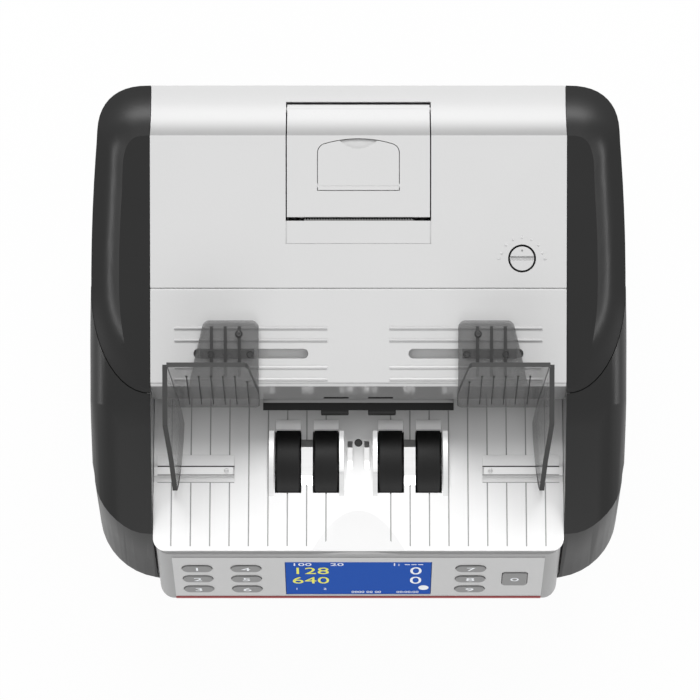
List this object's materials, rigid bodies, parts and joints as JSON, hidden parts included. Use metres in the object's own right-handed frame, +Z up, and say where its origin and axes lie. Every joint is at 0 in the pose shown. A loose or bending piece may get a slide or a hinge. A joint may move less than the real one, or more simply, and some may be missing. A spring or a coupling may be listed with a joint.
{
  "type": "banknote sorter",
  "caption": "Desktop banknote counter and sorter with a ribbed hopper, sliding smoky guides, keypad and display, front stacker pocket and a built-in receipt printer.",
  "frame": {"origin": "centre of the bounding box at the underside of the feet", "axes": "+X to the right of a user facing the machine, +Y to the rear, +Z up"},
  "size_m": [0.298, 0.2818, 0.2465],
  "materials": {
    "dark_plastic": "satin",
    "rubber_black": "matte",
    "steel": "brushed",
    "deck_plastic": "fine texture",
    "table_plastic": "satin",
    "rail_metal": "satin",
    "gloss_grey": "gloss",
    "smoke_plastic": "gloss, smoky clear",
    "black_plastic": "satin",
    "housing_plastic": "satin",
    "panel_film": "satin film",
    "key_plastic": "satin",
    "display_glass": "gloss",
    "board": "satin",
    "motor_metal": "satin"
  },
  "bodies": {
    "machine": {"base_pan": "dark_plastic", "feet": "rubber_black", "left_side_plate": "steel", "right_side_plate": "steel", "left_lower_cover": "dark_plastic", "right_lower_cover": "dark_plastic", "left_upper_cover": "dark_plastic", "right_upper_cover": "dark_plastic", "top_cover": "deck_plastic", "feed_cover": "deck_plastic", "fascia_strip": "gloss_grey", "rear_cover": "deck_plastic", "hopper_table": "table_plastic", "left_rail": "rail_metal", "right_rail": "rail_metal", "hopper_sensor": "black_plastic", "front_housing": "housing_plastic", "control_panel": "panel_film", "display_window": "display_glass", "display_board": "board", "printer_tub": "deck_plastic", "print_head": "black_plastic", "tear_bar": "steel", "retard_bracket": "steel", "note_guide": "steel", "image_sensor": "black_plastic", "stacker_plate": "deck_plastic", "stacker_tray": "dark_plastic", "drive_motor": "motor_metal", "drive_belts": "rubber_black", "power_inlet": "black_plastic"},
    "left_guide_unit": {"left_guide": "smoke_plastic", "left_slider": "black_plastic"},
    "right_guide_unit": {"right_guide": "smoke_plastic", "right_slider": "black_plastic"},
    "lid": {"printer_lid": "deck_plastic"},
    "latch": {"lid_latch": "deck_plastic"},
    "platen": {"platen_roller": "rubber_black"},
    "knob": {"thickness_knob": "deck_plastic"},
    "pickup": {"pickup_shaft": "steel", "pickup_rollers": "rubber_black"},
    "feed": {"feed_shaft": "steel", "feed_rollers": "rubber_black"},
    "retard": {"retard_roller": "rubber_black"},
    "transport": {"transport_shaft": "steel", "transport_drums": "housing_plastic"},
    "motor": {"motor_pulley": "steel"},
    "stacker": {"stacker_shaft": "steel", "stacker_wheels": "black_plastic"},
    "rocker": {"power_rocker": "black_plastic"},
    "left_key_1_body": {"left_key_1": "key_plastic"},
    "left_key_2_body": {"left_key_2": "key_plastic"},
    "left_key_3_body": {"left_key_3": "key_plastic"},
    "left_key_4_body": {"left_key_4": "key_plastic"},
    "left_key_5_body": {"left_key_5": "key_plastic"},
    "left_key_6_body": {"left_key_6": "key_plastic"},
    "right_key_1_body": {"right_key_1": "key_plastic"},
    "right_key_2_body": {"right_key_2": "key_plastic"},
    "right_key_3_body": {"right_key_3": "key_plastic"},
    "reset_key_body": {"reset_key": "key_plastic"}
  },
  "joints": [
    {"name": "left_guide_slide", "type": "slide", "parent": "machine", "child": "left_guide_unit", "axis": [1, 0, 0], "range_m": [0, 0.029]},
    {"name": "right_guide_slide", "type": "slide", "parent": "machine", "child": "right_guide_unit", "axis": [-1, 0, 0], "range_m": [0, 0.029]},
    {"name": "lid_hinge", "type": "hinge", "parent": "machine", "child": "lid", "pos_m": [0, 0.1276, 0.21604], "axis": [-1, 0, 0], "range_deg": [0, 70]},
    {"name": "latch_hinge", "type": "hinge", "parent": "lid", "child": "latch", "pos_m": [0, 0.08425, 0.22359], "axis": [1, 0, 0], "range_deg": [0, 55]},
    {"name": "platen_spin", "type": "hinge", "parent": "lid", "child": "platen", "pos_m": [0, 0.0697, 0.21614], "axis": [1, 0, 0], "continuous": true},
    {"name": "knob_turn", "type": "hinge", "parent": "machine", "child": "knob", "pos_m": [0.09, 0.0444, 0.22018], "axis": [0, -0.1201, 0.9928], "range_deg": [-90, 90]},
    {"name": "transport_spin", "type": "hinge", "parent": "machine", "child": "transport", "pos_m": [0, 0.038, 0.128], "axis": [1, 0, 0], "continuous": true},
    {"name": "pickup_spin", "type": "hinge", "parent": "machine", "child": "pickup", "pos_m": [0, -0.0675, 0.1618], "axis": [1, 0, 0], "continuous": true},
    {"name": "feed_spin", "type": "hinge", "parent": "machine", "child": "feed", "pos_m": [0, -0.012, 0.15696], "axis": [1, 0, 0], "continuous": true},
    {"name": "motor_spin", "type": "hinge", "parent": "machine", "child": "motor", "pos_m": [0, 0.104, 0.06], "axis": [1, 0, 0], "continuous": true},
    {"name": "retard_spin", "type": "hinge", "parent": "machine", "child": "retard", "pos_m": [0, -0.012, 0.18636], "axis": [1, 0, 0], "continuous": true},
    {"name": "stacker_spin", "type": "hinge", "parent": "machine", "child": "stacker", "pos_m": [0, -0.032, 0.078], "axis": [1, 0, 0], "continuous": true},
    {"name": "rocker_switch", "type": "hinge", "parent": "machine", "child": "rocker", "pos_m": [-0.061, 0.134, 0.044], "axis": [1, 0, 0], "range_deg": [0, 16]},
    {"name": "left_key_1_press", "type": "slide", "parent": "machine", "child": "left_key_1_body", "axis": [0, 0.9041, -0.4274], "range_m": [0, 0.0012], "stiffness_N_per_m": 400},
    {"name": "left_key_2_press", "type": "slide", "parent": "machine", "child": "left_key_2_body", "axis": [0, 0.9041, -0.4274], "range_m": [0, 0.0012], "stiffness_N_per_m": 400},
    {"name": "left_key_3_press", "type": "slide", "parent": "machine", "child": "left_key_3_body", "axis": [0, 0.9041, -0.4274], "range_m": [0, 0.0012], "stiffness_N_per_m": 400},
    {"name": "left_key_4_press", "type": "slide", "parent": "machine", "child": "left_key_4_body", "axis": [0, 0.9041, -0.4274], "range_m": [0, 0.0012], "stiffness_N_per_m": 400},
    {"name": "left_key_5_press", "type": "slide", "parent": "machine", "child": "left_key_5_body", "axis": [0, 0.9041, -0.4274], "range_m": [0, 0.0012], "stiffness_N_per_m": 400},
    {"name": "left_key_6_press", "type": "slide", "parent": "machine", "child": "left_key_6_body", "axis": [0, 0.9041, -0.4274], "range_m": [0, 0.0012], "stiffness_N_per_m": 400},
    {"name": "right_key_1_press", "type": "slide", "parent": "machine", "child": "right_key_1_body", "axis": [0, 0.9041, -0.4274], "range_m": [0, 0.0012], "stiffness_N_per_m": 400},
    {"name": "right_key_2_press", "type": "slide", "parent": "machine", "child": "right_key_2_body", "axis": [0, 0.9041, -0.4274], "range_m": [0, 0.0012], "stiffness_N_per_m": 400},
    {"name": "right_key_3_press", "type": "slide", "parent": "machine", "child": "right_key_3_body", "axis": [0, 0.9041, -0.4274], "range_m": [0, 0.0012], "stiffness_N_per_m": 400},
    {"name": "reset_key_press", "type": "slide", "parent": "machine", "child": "reset_key_body", "axis": [0, 0.9041, -0.4274], "range_m": [0, 0.0012], "stiffness_N_per_m": 400}
  ],
  "couplings": [
    {"joint": "motor_spin", "follows": "transport_spin", "ratio": 2.5},
    {"joint": "feed_spin", "follows": "transport_spin", "ratio": 2.5},
    {"joint": "pickup_spin", "follows": "transport_spin", "ratio": 1.4286}
  ]
}
